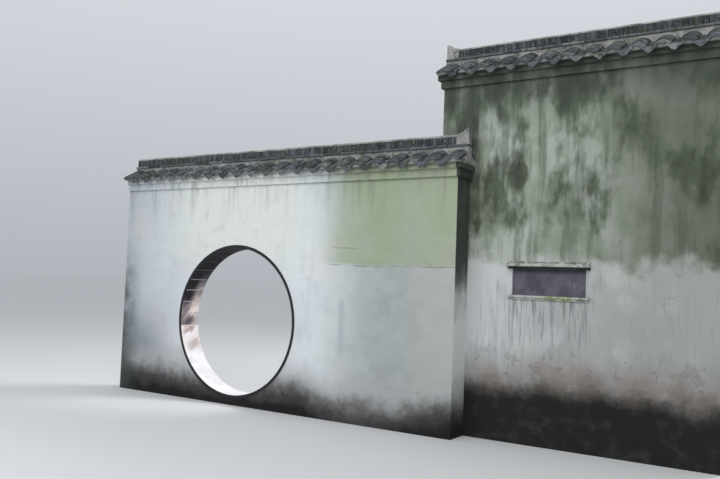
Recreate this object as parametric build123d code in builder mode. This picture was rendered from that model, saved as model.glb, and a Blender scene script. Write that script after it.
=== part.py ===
# Moon gate: a round doorway, lined with a ring of grey bricks, in a plastered garden wall
# with a tiled coping, and the taller wall with a bare tablet that it laps at its right end.
# X runs along the wall to the right of its front face, Y runs into the wall and Z is up.
# The origin is on the ground, below the middle of the gate and half-way through the gate wall.
import os
from math import asin, cos, degrees, pi, radians, sin, sqrt, tan

from build123d import *

# Gate wall, measured from the gate's axis and from the ground
gate_wall_thickness = 320
gate_wall_left_end = 2140
gate_wall_right_end = 3170
gate_wall_height = 2870
arris_radius = 12

# Ring of bricks that lines the gate
gate_sill_height = 90
ring_outer_radius = 1000
ring_brick_height = 40
ring_brick_count = 36
ring_joint = 6
ring_projection = 5
ring_edge_chamfer = 4
ring_first_joint_angle = 7
ring_bed = 0.3
surround_margin = 150

# Taller wall, which stands behind the gate wall's right end
tall_wall_thickness = 400
tall_wall_right_end = 5800
tall_wall_height = 3950
wall_lap = 360

# Bare tablet in the taller wall, with its hood and sill
tablet_left = 3705
tablet_right = 4505
tablet_bottom = 1590
tablet_height = 285
tablet_thickness = 60
tablet_setback = 25
hood_overhang = 45
hood_height = 80
hood_projection = 65
sill_height = 45
sill_projection = 30

# Corbel courses under the coping
lower_corbel_height = 90
lower_corbel_projection = 30
upper_corbel_height = 60
upper_corbel_projection = 60

# Tiled coping
roof_pitch = 28
core_edge_height = 15
eave_overhang = 70
tile_spacing = 245
tile_thickness = 10
pan_width = 200
pan_radius = 200
cover_width = 170
cover_radius = 115
tile_gap = 0.3
drip_tongue_width = 150
drip_tongue_drop = 60

# Ridge of upright tiles
ridge_bed_width = 110
ridge_bed_height = 95
ridge_slab_width = 150
ridge_slab_height = 25
ridge_tile_width = 80
ridge_tile_height = 95
ridge_cap_width = 70
ridge_cap_height = 28
ridge_end_length = 150
ridge_end_height = 175
ridge_end_tip = 40

gate_centre_height = gate_sill_height + ring_outer_radius
surround_half_width = ring_outer_radius + surround_margin
half_wall = gate_wall_thickness / 2
tall_wall_front = half_wall
tall_wall_left_end = gate_wall_right_end - wall_lap
tall_wall_middle = tall_wall_front + tall_wall_thickness / 2
ring_inner_radius = ring_outer_radius - ring_brick_height
bricks_in_quarter = ring_brick_count // 4
brick_angle = 360 / ring_brick_count

os.makedirs("parts", exist_ok=True)


def save(part, name):
    """Label a finished piece and write it to its own file."""
    part.label = name
    export_step(part, f"parts/{name}.step")


# Plain stretches of the gate wall on both sides of the gate
with BuildPart() as gate_wall_left:
    with BuildSketch():
        with Locations((-(gate_wall_left_end + surround_half_width) / 2, 0)):
            Rectangle(gate_wall_left_end - surround_half_width, gate_wall_thickness)
    extrude(amount=gate_wall_height)
save(gate_wall_left.part, "gate_wall_left")

with BuildPart() as gate_wall_right:
    with BuildSketch():
        with Locations(((gate_wall_right_end + surround_half_width) / 2, 0)):
            Rectangle(gate_wall_right_end - surround_half_width, gate_wall_thickness)
    extrude(amount=gate_wall_height)
    end_arrises = gate_wall_right.edges().filter_by(Axis.Z).group_by(Axis.X)[-1]
    fillet(end_arrises.sort_by(Axis.Y)[0], arris_radius)
save(gate_wall_right.part, "gate_wall_right")

# Masonry round the gate, in four quarters that meet on the gate's axes
gate_plane = Plane(origin=(0, 0, gate_centre_height), x_dir=(1, 0, 0), z_dir=(0, -1, 0))
quarters = {
    "upper_right": (1, 1),
    "upper_left": (-1, 1),
    "lower_left": (-1, -1),
    "lower_right": (1, -1),
}
for name, (side, level) in quarters.items():
    quarter_height = gate_wall_height - gate_centre_height if level > 0 else gate_centre_height
    with BuildPart() as surround:
        with BuildSketch(gate_plane):
            with Locations((side * surround_half_width / 2, level * quarter_height / 2)):
                Rectangle(surround_half_width, quarter_height)
            Circle(ring_outer_radius + ring_bed, mode=Mode.SUBTRACT)
        extrude(amount=half_wall, both=True)
    save(surround.part, f"gate_surround_{name}")

# One brick of the ring, a wedge as deep as the wall, with its inner arrises eased
half_brick_angle = brick_angle / 2 - ring_joint / 2 / ring_outer_radius * 180 / pi
ring_depth = gate_wall_thickness + 2 * ring_projection
with BuildPart() as ring_brick:
    with BuildSketch():
        with BuildLine():
            outer = CenterArc((0, 0), ring_outer_radius, -half_brick_angle, 2 * half_brick_angle)
            inner = CenterArc((0, 0), ring_inner_radius, -half_brick_angle, 2 * half_brick_angle)
            Line(outer @ 0, inner @ 0)
            Line(outer @ 1, inner @ 1)
        make_face()
    extrude(amount=ring_depth / 2, both=True)
    end_faces = ring_brick.faces().filter_by(Axis.Z)
    inner_arrises = end_faces.edges().filter_by(GeomType.CIRCLE).group_by(SortBy.RADIUS)[0]
    chamfer(inner_arrises, ring_edge_chamfer)

# The ring's four quarters, each of bricks that don't touch
for number, name in enumerate(quarters):
    first_brick = ring_first_joint_angle + (number * bricks_in_quarter + 0.5) * brick_angle
    with BuildPart() as ring_quarter:
        with Locations(gate_plane):
            with PolarLocations(
                0,
                bricks_in_quarter,
                start_angle=first_brick,
                angular_range=(bricks_in_quarter - 1) * brick_angle,
                endpoint=True,
            ):
                add(ring_brick.part)
    save(ring_quarter.part, f"ring_bricks_{name}")

# Taller wall with the recess for its tablet
tall_wall_length = tall_wall_right_end - tall_wall_left_end
tablet_length = tablet_right - tablet_left
tablet_centre = (tablet_left + tablet_right) / 2
recess_depth = tablet_setback + tablet_thickness
with BuildPart() as tall_wall:
    with BuildSketch():
        with Locations(((tall_wall_left_end + tall_wall_right_end) / 2, tall_wall_middle)):
            Rectangle(tall_wall_length, tall_wall_thickness)
    extrude(amount=tall_wall_height)
    end_arrises = tall_wall.edges().filter_by(Axis.Z).group_by(Axis.X)[0]
    fillet(end_arrises.sort_by(Axis.Y)[-1], arris_radius)
    with BuildSketch(Plane.XZ.offset(-tall_wall_front)):
        with Locations((tablet_centre, tablet_bottom + tablet_height / 2)):
            Rectangle(tablet_length, tablet_height)
    extrude(amount=-recess_depth, mode=Mode.SUBTRACT)
save(tall_wall.part, "tall_wall")

# Tablet, seated on the back of its recess
with BuildPart() as tablet:
    with BuildSketch(Plane.XZ.offset(-tall_wall_front - tablet_setback)):
        with Locations((tablet_centre, tablet_bottom + tablet_height / 2)):
            Rectangle(tablet_length, tablet_height)
    extrude(amount=-tablet_thickness)
save(tablet.part, "tablet")

# Hood over the tablet: two fillets and a slab with a sloping top
hood_length = tablet_length + 2 * hood_overhang
hood_step = hood_height / 4
with BuildPart() as tablet_hood:
    with BuildSketch(Plane.YZ.offset(tablet_centre)):
        with BuildLine():
            Polyline(
                (tall_wall_front, tablet_bottom + tablet_height),
                (tall_wall_front - hood_projection / 3, tablet_bottom + tablet_height),
                (tall_wall_front - hood_projection / 3, tablet_bottom + tablet_height + hood_step),
                (tall_wall_front - hood_projection, tablet_bottom + tablet_height + hood_step),
                (tall_wall_front - hood_projection, tablet_bottom + tablet_height + 2 * hood_step),
                (tall_wall_front, tablet_bottom + tablet_height + hood_height),
                close=True,
            )
        make_face()
    extrude(amount=hood_length / 2, both=True)
save(tablet_hood.part, "tablet_hood")

# Sill of two thin courses under the tablet
with BuildPart() as tablet_sill:
    with BuildSketch(Plane.XY.offset(tablet_bottom - sill_height)):
        with Locations((tablet_centre, tall_wall_front - sill_projection / 4)):
            Rectangle(tablet_length + hood_overhang, sill_projection / 2)
    extrude(amount=sill_height)
    with BuildSketch(Plane.XY.offset(tablet_bottom - sill_height / 2)):
        with Locations((tablet_centre, tall_wall_front - sill_projection / 2)):
            Rectangle(tablet_length + 2 * hood_overhang, sill_projection)
    extrude(amount=sill_height / 2)
save(tablet_sill.part, "tablet_sill")


# Columns of tiles, which are as long as the longer of the two walls' slopes
half_gate_eave = half_wall + upper_corbel_projection + eave_overhang
half_tall_eave = tall_wall_thickness / 2 + upper_corbel_projection + eave_overhang
column_length = max(half_gate_eave, half_tall_eave) / cos(radians(roof_pitch))
pan_hollow_radius = pan_radius - tile_thickness
pan_half_angle = degrees(asin(pan_width / 2 / pan_radius))
cover_hollow_radius = cover_radius - tile_thickness
cover_half_angle = degrees(asin(cover_width / 2 / cover_radius))


def corners_on_arc(centre_height, radius, middle, half_angle):
    """Four corners, evenly spaced on an arc, whose middle is at an angle from the X axis."""
    turns = (half_angle, half_angle / 3, -half_angle / 3, -half_angle)
    return [
        Vector(0, centre_height) + Vector(radius, 0).rotate(Axis.Z, middle + turn) for turn in turns
    ]


# One column of pan tiles: a channel with its hollow side up, whose underside is three flats.
# Its middle flat lies on the XY plane, and a tongue hangs plumb from its lower end.
pan_flat_corner_radius = pan_radius / cos(radians(pan_half_angle / 3))
tongue_top_radius = pan_radius - tile_thickness / 2
tongue_half_angle = degrees(asin(drip_tongue_width / 2 / tongue_top_radius))
plumb = Plane(
    origin=(0, 0, 0),
    x_dir=(1, 0, 0),
    z_dir=(0, -cos(radians(roof_pitch)), sin(radians(roof_pitch))),
)
with BuildPart() as pan_column:
    with BuildSketch(Plane.XZ):
        with BuildLine():
            hollow = CenterArc(
                (0, pan_radius), pan_hollow_radius, 270 - pan_half_angle, 2 * pan_half_angle
            )
            underside = corners_on_arc(pan_radius, pan_flat_corner_radius, 270, pan_half_angle)
            Polyline(hollow @ 1, *underside, hollow @ 0)
        make_face()
    extrude(amount=-column_length)
    with BuildSketch(plumb):
        with BuildLine():
            inside_wall = [
                (corner.X, corner.Y / cos(radians(roof_pitch)))
                for corner in corners_on_arc(pan_radius, tongue_top_radius, 270, tongue_half_angle)
            ]
            Polyline(
                *inside_wall,
                (-drip_tongue_width / 4, -drip_tongue_drop / 2),
                (0, -drip_tongue_drop),
                (drip_tongue_width / 4, -drip_tongue_drop / 2),
                close=True,
            )
        make_face()
    extrude(amount=-tile_thickness)

# One column of cover tiles: a channel with its hollow side down, whose inside is three flats.
# The inner edges of its two feet lie on the XY plane.
cover_centre_drop = cover_hollow_radius * cos(radians(cover_half_angle))
cover_foot = cover_hollow_radius * sin(radians(cover_half_angle))
with BuildPart() as cover_column:
    with BuildSketch(Plane.XZ):
        with BuildLine():
            back = CenterArc(
                (0, -cover_centre_drop), cover_radius, 90 - cover_half_angle, 2 * cover_half_angle
            )
            inside = corners_on_arc(-cover_centre_drop, cover_hollow_radius, 90, cover_half_angle)
            Polyline(back @ 1, *inside, back @ 0)
        make_face()
    extrude(amount=-column_length)


def build_coping(wall, left, right, left_is_free, right_is_free, middle, thickness, base):
    """Corbel courses, tiled slopes and ridge of one wall, from left to right along X.

    A free end has corbels that return round it. The tall wall's own space is cut
    out of what the gate wall's coping would put there.
    """
    half_thickness = thickness / 2
    meets_tall_wall = wall == "gate_wall"

    def cut_for_tall_wall():
        """Take away what lies inside the tall wall, in the part that is being built."""
        if meets_tall_wall:
            with Locations((tall_wall_left_end, tall_wall_front, 0)):
                Box(
                    tall_wall_length,
                    tall_wall_thickness,
                    tall_wall_height,
                    align=(Align.MIN, Align.MIN, Align.MIN),
                    mode=Mode.SUBTRACT,
                )

    # Two corbel courses, each a flat band that stands out past the one below
    bands = {
        "lower_corbel": (base, lower_corbel_height, lower_corbel_projection),
        "upper_corbel": (base + lower_corbel_height, upper_corbel_height, upper_corbel_projection),
    }
    for name, (bottom, height, projection) in bands.items():
        band_left = left - projection * left_is_free
        band_right = right + projection * right_is_free
        with BuildPart() as band:
            with BuildSketch(Plane.XY.offset(bottom)):
                with Locations(((band_left + band_right) / 2, middle)):
                    Rectangle(band_right - band_left, thickness + 2 * projection)
            extrude(amount=height)
            cut_for_tall_wall()
        save(band.part, f"{wall}_{name}")

    # Mortar core with two slopes and a flat top for the ridge
    core_left = left - upper_corbel_projection * left_is_free
    core_right = right + upper_corbel_projection * right_is_free
    core_base = base + lower_corbel_height + upper_corbel_height
    core_half_width = half_thickness + upper_corbel_projection
    core_edge = core_base + core_edge_height
    core_top = core_edge + (core_half_width - ridge_bed_width / 2) * tan(radians(roof_pitch))
    core_plane = Plane(origin=(core_left, middle, 0), x_dir=(0, 1, 0), z_dir=(1, 0, 0))
    with BuildPart() as core:
        with BuildSketch(core_plane):
            with BuildLine():
                Polyline(
                    (-core_half_width, core_base),
                    (core_half_width, core_base),
                    (core_half_width, core_edge),
                    (ridge_bed_width / 2, core_top),
                    (-ridge_bed_width / 2, core_top),
                    (-core_half_width, core_edge),
                    close=True,
                )
            make_face()
        extrude(amount=core_right - core_left)
        cut_for_tall_wall()
    save(core.part, f"{wall}_coping_core")

    # Columns of pan and cover tiles on both slopes, cut upright where they meet the ridge.
    # Whole columns share the coping's length, with a cover column flush with each end.
    core_length = core_right - core_left
    pan_count = round((core_length - cover_width) / tile_spacing)
    spacing = (core_length - cover_width) / pan_count
    first_cover = core_left + cover_width / 2
    pan_places = [first_cover + (i + 0.5) * spacing for i in range(pan_count)]
    cover_places = [first_cover + i * spacing for i in range(pan_count + 1)]

    # The cover tiles' feet stand on the hollow side of the pan tiles to their left and right
    foot_from_pan = spacing / 2 - cover_foot
    cover_seat = pan_radius - sqrt(pan_hollow_radius**2 - foot_from_pan**2) + tile_gap
    eave = core_half_width + eave_overhang
    eave_height = core_edge - eave_overhang * tan(radians(roof_pitch))
    for slope_name, side in {"front": -1, "back": 1}.items():
        slope = Plane(
            origin=(0, middle + side * eave, eave_height),
            x_dir=(-side, 0, 0),
            z_dir=(0, side * sin(radians(roof_pitch)), cos(radians(roof_pitch))),
        )
        layers = {
            "pan_tiles": (pan_column, pan_places, tile_gap),
            "cover_tiles": (cover_column, cover_places, tile_gap + cover_seat),
        }
        for name, (column, places, seat) in layers.items():
            with BuildPart() as columns:
                with Locations(slope):
                    with Locations(*[(-side * place, 0, seat) for place in places]):
                        add(column.part)
                with Locations((core_left, middle + side * ridge_bed_width / 2, eave_height)):
                    Box(
                        core_length,
                        column_length,
                        column_length,
                        align=(Align.MIN, Align.MIN if side < 0 else Align.MAX, Align.MIN),
                        mode=Mode.SUBTRACT,
                    )
                cut_for_tall_wall()
            save(columns.part, f"{wall}_{name}_{slope_name}")

    # Ridge: a bed, a thin slab and a row of tiles packed on edge
    ridge_left = core_left + ridge_end_length * left_is_free
    ridge_right = core_right - ridge_end_length * right_is_free
    slab_base = core_top + ridge_bed_height
    ridge_base = slab_base + ridge_slab_height
    ridge_top = ridge_base + ridge_tile_height
    courses = {
        "ridge_bed": (core_left, core_right, core_top, ridge_bed_width, ridge_bed_height),
        "ridge_slab": (core_left, core_right, slab_base, ridge_slab_width, ridge_slab_height),
        "ridge_tiles": (ridge_left, ridge_right, ridge_base, ridge_tile_width, ridge_tile_height),
    }
    for name, (start, end, bottom, width, height) in courses.items():
        with BuildPart() as course:
            with BuildSketch(Plane.XY.offset(bottom)):
                with Locations(((start + end) / 2, middle)):
                    Rectangle(end - start, width)
            extrude(amount=height)
        save(course.part, f"{wall}_{name}")

    # Rounded mortar cap over the ridge tiles
    cap_plane = Plane(origin=(ridge_left, middle, ridge_top), x_dir=(0, 1, 0), z_dir=(1, 0, 0))
    with BuildPart() as ridge_cap:
        with BuildSketch(cap_plane):
            with BuildLine():
                crown = ThreePointArc(
                    (-ridge_cap_width / 2, 0), (0, ridge_cap_height), (ridge_cap_width / 2, 0)
                )
                Line(crown @ 0, crown @ 1)
            make_face()
        extrude(amount=ridge_right - ridge_left)
    save(ridge_cap.part, f"{wall}_ridge_cap")

    # Block that stops the row of ridge tiles at the free end, with a top that sweeps up to a tip
    outward = -1 if left_is_free else 1
    block_inner = ridge_left if left_is_free else ridge_right
    block_outer = block_inner + outward * ridge_end_length
    with BuildPart() as ridge_end:
        with BuildSketch(Plane.XZ.offset(-middle)):
            with BuildLine():
                sides = Polyline(
                    (block_inner, ridge_top + ridge_cap_height),
                    (block_inner, ridge_base),
                    (block_outer, ridge_base),
                    (block_outer, ridge_base + ridge_end_height),
                    (block_outer - outward * ridge_end_tip, ridge_base + ridge_end_height),
                )
                TangentArc(sides @ 0, sides @ 1, tangent=(outward, 0))
            make_face()
        extrude(amount=ridge_tile_width / 2, both=True)
    save(ridge_end.part, f"{wall}_ridge_end")


build_coping(
    wall="gate_wall",
    left=-gate_wall_left_end,
    right=gate_wall_right_end,
    left_is_free=False,
    right_is_free=True,
    middle=0,
    thickness=gate_wall_thickness,
    base=gate_wall_height,
)
build_coping(
    wall="tall_wall",
    left=tall_wall_left_end,
    right=tall_wall_right_end,
    left_is_free=True,
    right_is_free=False,
    middle=tall_wall_middle,
    thickness=tall_wall_thickness,
    base=tall_wall_height,
)
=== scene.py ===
# Moon gate in a garden wall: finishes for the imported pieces, and the pieces that dress them
import math
import random

import bmesh
import bpy
from mathutils import Matrix, Vector


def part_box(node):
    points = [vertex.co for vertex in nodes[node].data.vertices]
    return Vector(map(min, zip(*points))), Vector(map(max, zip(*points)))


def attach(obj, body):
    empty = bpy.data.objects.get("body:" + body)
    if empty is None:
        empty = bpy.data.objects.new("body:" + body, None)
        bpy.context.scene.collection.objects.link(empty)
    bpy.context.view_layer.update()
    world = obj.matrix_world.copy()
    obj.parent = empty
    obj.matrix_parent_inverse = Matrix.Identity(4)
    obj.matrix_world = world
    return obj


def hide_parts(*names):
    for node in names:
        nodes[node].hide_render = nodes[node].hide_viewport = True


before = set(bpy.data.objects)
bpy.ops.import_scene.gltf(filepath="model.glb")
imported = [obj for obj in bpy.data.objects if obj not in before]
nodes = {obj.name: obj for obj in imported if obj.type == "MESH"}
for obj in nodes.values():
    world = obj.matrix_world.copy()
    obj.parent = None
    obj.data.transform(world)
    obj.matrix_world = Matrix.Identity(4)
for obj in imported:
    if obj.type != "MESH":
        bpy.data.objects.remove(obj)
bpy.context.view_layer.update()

# Camera at the photograph's viewpoint, 1.68 m above the ground and to the right of the gate.
# It looks left along the wall and a little up, and is rolled by two degrees.
ring_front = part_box("ring_bricks_upper_left")[0].y
camera_place = Vector((6.776, ring_front - 7.549, 1.681))
camera_turn = math.radians(32.73)
camera_rise = math.radians(3.10)
camera_roll = math.radians(2.154)
bpy.ops.object.camera_add()
camera = bpy.context.object
camera.name = "viewpoint"
camera.data.lens = 38.0
camera.data.sensor_width = 36.0
camera.matrix_world = (
    Matrix.Translation(camera_place)
    @ Matrix.Rotation(camera_turn, 4, "Z")
    @ Matrix.Rotation(math.radians(90) + camera_rise, 4, "X")
    @ Matrix.Rotation(camera_roll, 4, "Z")
)
bpy.context.scene.camera = camera
bpy.context.scene.view_settings.view_transform = "Standard"


def shade(red, green, blue):
    """A colour as it shows on a screen, from 0 to 255, as the light values that a material takes."""
    steps = [level / 255 for level in (red, green, blue)]
    return tuple(s / 12.92 if s <= 0.04045 else ((s + 0.055) / 1.055) ** 2.4 for s in steps)


# Studio: a pale floor, a sky that brightens from the horizon up, and three broad soft lights. One
# is high in front and to the right, one is high behind and to the right, so that it falls through
# the gate, and one is lower and further off in front, to the left.
gate_middle = Vector((0, 0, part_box("gate_surround_upper_left")[0].z))
floor_size = 400
bpy.ops.mesh.primitive_plane_add(size=floor_size)
floor = bpy.context.object
floor.name = "floor"
floor_paint = bpy.data.materials.new("floor_paint")
floor_paint.use_nodes = True
floor_shader = floor_paint.node_tree.nodes["Principled BSDF"]
floor_shader.inputs["Base Color"].default_value = (*shade(196, 197, 198), 1)
floor_shader.inputs["Roughness"].default_value = 0.9
floor.data.materials.append(floor_paint)

sky = bpy.data.worlds.new("sky")
sky.use_nodes = True
sky_tree = sky.node_tree
sky_direction = sky_tree.nodes.new("ShaderNodeTexCoord")
sky_height = sky_tree.nodes.new("ShaderNodeSeparateXYZ")
sky_rise = sky_tree.nodes.new("ShaderNodeMapRange")
sky_rise.inputs["From Max"].default_value = 0.5
sky_blend = sky_tree.nodes.new("ShaderNodeMix")
sky_blend.data_type = "RGBA"
sky_blend.inputs[6].default_value = (*shade(178, 182, 188), 1)
sky_blend.inputs[7].default_value = (*shade(226, 230, 236), 1)
sky_tree.links.new(sky_direction.outputs["Generated"], sky_height.inputs[0])
sky_tree.links.new(sky_height.outputs["Z"], sky_rise.inputs["Value"])
sky_tree.links.new(sky_rise.outputs[0], sky_blend.inputs[0])
sky_tree.links.new(sky_blend.outputs[2], sky_tree.nodes["Background"].inputs["Color"])
bpy.context.scene.world = sky


def hang_light(name, place, size, power, colour, spread=180):
    """A broad soft light that faces the middle of the gate, over a cone as wide as its spread."""
    bpy.ops.object.light_add(type="AREA", location=place)
    light = bpy.context.object
    light.name = name
    light.data.size = size
    light.data.energy = power
    light.data.color = colour
    light.data.spread = math.radians(spread)
    light.rotation_euler = (gate_middle - Vector(place)).to_track_quat("-Z", "Y").to_euler()


hang_light("front_light", place=(5, -8, 9), size=7, power=560, colour=(1.0, 0.99, 0.97))
hang_light("through_light", place=(8, 9.5, 11.6), size=7, power=640, colour=(1.0, 0.97, 0.96), spread=110)
hang_light("low_light", place=(-7, -15, 7), size=9, power=200, colour=(0.95, 0.98, 1.0), spread=100)


# Gate wall: brick masonry under smooth lime plaster, limewashed white many times over. It is painted
# lighter round the gate as painted light, and darker and greyer towards both ends as painted shade.
# Algae and painted green light tint it above a joint between two days' plastering, and mould blackens
# its foot and its left edge. The top of its free end is black with mould and painted shade.
class Finish:
    """A material that is laid on coat by coat. Its places are measured in metres in the frame."""

    def __init__(self, name, colour, roughness):
        self.material = bpy.data.materials.new(name)
        self.material.use_nodes = True
        self.tree = self.material.node_tree
        self.shader = self.tree.nodes["Principled BSDF"]
        self.shader.inputs["Roughness"].default_value = roughness
        self.shader.inputs["Specular IOR Level"].default_value = 0.25
        self.place = self.add("ShaderNodeTexCoord").outputs["Object"]
        self.x, self.y, self.z = self.add("ShaderNodeSeparateXYZ", Vector=self.place).outputs
        self.colour = (*colour, 1)
        self.normal = None

    def add(self, kind, settings=(), **feeds):
        """Add a node, set it up and feed its inputs with values or with other nodes' outputs."""
        node = self.tree.nodes.new(kind)
        for name, value in dict(settings).items():
            setattr(node, name, value)
        for name, value in feeds.items():
            self.feed(node.inputs[name.replace("_", " ")], value)
        return node

    def feed(self, socket, value):
        """Link another node's output to an input, or set the input to a plain value."""
        if isinstance(value, bpy.types.NodeSocket):
            self.tree.links.new(value, socket)
        else:
            socket.default_value = value

    def maths(self, operation, first, second=0.0):
        """One step of arithmetic on values or outputs."""
        node = self.add("ShaderNodeMath", {"operation": operation})
        self.feed(node.inputs[0], first)
        self.feed(node.inputs[1], second)
        return node.outputs[0]

    def product(self, first, *others):
        """Values and outputs multiplied together."""
        for other in others:
            first = self.maths("MULTIPLY", first, other)
        return first

    def rest(self, share):
        """What a share leaves of 1."""
        return self.maths("SUBTRACT", 1.0, share)

    def apart(self, first, second):
        """How far apart two values are."""
        return self.maths("ABSOLUTE", self.maths("SUBTRACT", first, second))

    def ease(self, value, low, high, start=0.0, end=1.0):
        """Turn a value's span from low to high into a smooth rise or fall from start to end."""
        node = self.add("ShaderNodeMapRange", {"interpolation_type": "SMOOTHSTEP"})
        for number, setting in enumerate((value, low, high, start, end)):
            self.feed(node.inputs[number], setting)
        return node.outputs[0]

    def clouds(self, size, detail=3.0, roughness=0.55, stretch=(1, 1, 1), shift=(0, 0, 0)):
        """Cloudy patches about size metres across, from 0 to 1 and mostly near 0.5."""
        spot = self.add("ShaderNodeMapping", Vector=self.place, Location=shift, Scale=stretch)
        return self.add(
            "ShaderNodeTexNoise",
            Vector=spot.outputs[0],
            Scale=1 / size,
            Detail=detail,
            Roughness=roughness,
        ).outputs[0]

    def swell(self, height, size, **kind):
        """Cloudy ups and downs about size metres across, by up to half a height over and under 0."""
        return self.maths("MULTIPLY", self.maths("SUBTRACT", self.clouds(size, **kind), 0.5), height)

    def cracks(self, size, width, wander):
        """Fine lines between cells about size metres across: 1 on a line and 0 off it."""
        sway = self.add("ShaderNodeTexNoise", Vector=self.place, Scale=3 / size, Detail=4.0)
        moved = self.add("ShaderNodeVectorMath", {"operation": "MULTIPLY_ADD"})
        self.feed(moved.inputs[0], sway.outputs["Color"])
        self.feed(moved.inputs[1], (wander, wander, wander))
        self.feed(moved.inputs[2], self.place)
        cells = self.add(
            "ShaderNodeTexVoronoi",
            {"feature": "DISTANCE_TO_EDGE"},
            Vector=moved.outputs[0],
            Scale=1 / size,
        )
        return self.ease(cells.outputs["Distance"], 0.0, width / size, 1.0, 0.0)

    def away_from(self, x, z):
        """The distance of each point from a place on the wall's face, however deep it lies."""
        flat = self.add("ShaderNodeVectorMath", {"operation": "MULTIPLY"})
        self.feed(flat.inputs[0], self.place)
        self.feed(flat.inputs[1], (1, 0, 1))
        span = self.add("ShaderNodeVectorMath", {"operation": "DISTANCE"})
        self.feed(span.inputs[0], flat.outputs[0])
        self.feed(span.inputs[1], (x, 0, z))
        return span.outputs["Value"]

    def coat(self, colour, thickness):
        """Lay a colour over what is there, from none of it at 0 to all of it at 1."""
        mix = self.add("ShaderNodeMix", {"data_type": "RGBA"})
        self.feed(mix.inputs[0], thickness)
        self.feed(mix.inputs[6], self.colour)
        self.feed(mix.inputs[7], (*colour, 1))
        self.colour = mix.outputs[2]

    def relief(self, height, depth):
        """Raise and sink the surface by a height from 0 to 1, depth metres deep."""
        bump = self.add("ShaderNodeBump", Height=height, Distance=depth)
        if self.normal:
            self.feed(bump.inputs["Normal"], self.normal)
        self.normal = bump.outputs[0]

    def done(self):
        """Join the colour and the relief to the shader, and give back the material."""
        self.feed(self.shader.inputs["Base Color"], self.colour)
        if self.normal:
            self.feed(self.shader.inputs["Normal"], self.normal)
        return self.material


def dress(node_name, material):
    """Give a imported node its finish."""
    slots = nodes[node_name].data.materials
    slots.clear()
    slots.append(material)


gate_wall_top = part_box("gate_wall_right")[1].z
gate_wall_left, gate_wall_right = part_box("gate_wall_left")[0].x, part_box("gate_wall_right")[1].x
gate_height = gate_middle.z
day_joint_height = 1.855
day_joint_start = 1.45
short_joint_height = 2.06
short_joint_start = 1.5
short_joint_end = 1.95
crack_x = 2.86
crack_height = 1.885
run_x = 1.7

plaster = Finish("white_plaster", shade(208, 212, 214), roughness=0.9)
small_clouds = plaster.clouds(0.2, detail=6, roughness=0.6)
run_marks = plaster.clouds(0.13, detail=5, stretch=(1, 1, 0.1), shift=(2, 0, 0))
fine_marks = plaster.clouds(0.03, detail=4, stretch=(1, 1, 0.14), shift=(4, 0, 0))
plaster.coat(shade(199, 204, 208), plaster.ease(plaster.clouds(1.1, detail=4), 0.4, 0.62))
# Painted light: a lighter, greener tone over the gate
painted_light_over_gate = plaster.product(
    plaster.ease(plaster.z, gate_height + 0.5, gate_height + 1.1),
    plaster.ease(plaster.maths("ABSOLUTE", plaster.x), 1.5, 0.6),
)
plaster.coat(shade(211, 215, 207), plaster.product(painted_light_over_gate, 0.85))
plaster.coat(shade(209, 208, 202), plaster.ease(plaster.clouds(0.6, shift=(9, 3, 1)), 0.5, 0.7, 0, 0.4))
plaster.coat(shade(182, 187, 191), plaster.ease(small_clouds, 0.52, 0.74, 0, 0.45))
plaster.coat(shade(176, 181, 184), plaster.ease(run_marks, 0.54, 0.7, 0, 0.18))
plaster.coat(shade(180, 184, 185), plaster.ease(fine_marks, 0.56, 0.74, 0, 0.16))
# Painted shade: greyer in patches towards the right end, and a little lighter again just before the free
# end
plaster.coat(
    shade(152, 157, 155),
    plaster.product(plaster.ease(plaster.x, 1.1, 2.3), plaster.ease(small_clouds, 0.3, 0.7, 0.84, 1)),
)
plaster.coat(shade(168, 171, 164), plaster.ease(plaster.x, 2.5, 2.95, 0, 0.6))
# Painted shade: darker towards the left end and lower down
plaster.coat(
    shade(118, 124, 133),
    plaster.product(plaster.ease(plaster.x, -0.65, -1.85), plaster.ease(plaster.z, 1.5, 0.5, 0.3, 0.96)),
)

# Algae with painted green-tinted light above the joint between two days' plastering, right of the gate,
# and rain marks under the coping
level_plaster = plaster.maths("ADD", plaster.z, plaster.swell(0.05, 0.4, detail=3))
over_joint = plaster.maths("SUBTRACT", level_plaster, day_joint_height)
algae_patches = plaster.ease(plaster.clouds(0.8, detail=5, shift=(2, 7, 0)), 0.3, 0.6, 0.6, 1)
algae_and_painted_light = plaster.product(
    plaster.ease(over_joint, -0.005, 0.04),
    plaster.ease(plaster.x, 1.2, 1.9),
    algae_patches,
)
plaster.coat(shade(147, 157, 130), algae_and_painted_light)
rain_marks = plaster.clouds(0.07, detail=5, stretch=(1, 1, 0.09))
plaster.coat(
    shade(116, 121, 116),
    plaster.product(
        plaster.ease(rain_marks, 0.48, 0.7),
        plaster.ease(plaster.z, gate_wall_top - 0.6, gate_wall_top + 0.1, 0, 0.5),
    ),
)

# The joint itself, a fine dark line with gaps, and a shorter one above its left end
day_joint = plaster.product(
    plaster.ease(plaster.apart(level_plaster, day_joint_height), 0.003, 0.008, 1, 0),
    plaster.ease(plaster.x, day_joint_start, day_joint_start + 0.15),
    plaster.ease(plaster.clouds(0.25, detail=4, shift=(0, 5, 5)), 0.36, 0.52, 0.15, 1),
)
short_joint = plaster.product(
    plaster.ease(plaster.apart(level_plaster, short_joint_height), 0.003, 0.008, 1, 0),
    plaster.ease(plaster.x, short_joint_start, short_joint_start + 0.08),
    plaster.ease(plaster.x, short_joint_end, short_joint_end - 0.15),
    0.7,
)
joints_seen = plaster.maths("MAXIMUM", day_joint, short_joint)
plaster.coat(shade(112, 116, 110), plaster.product(joints_seen, 0.8))

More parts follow.
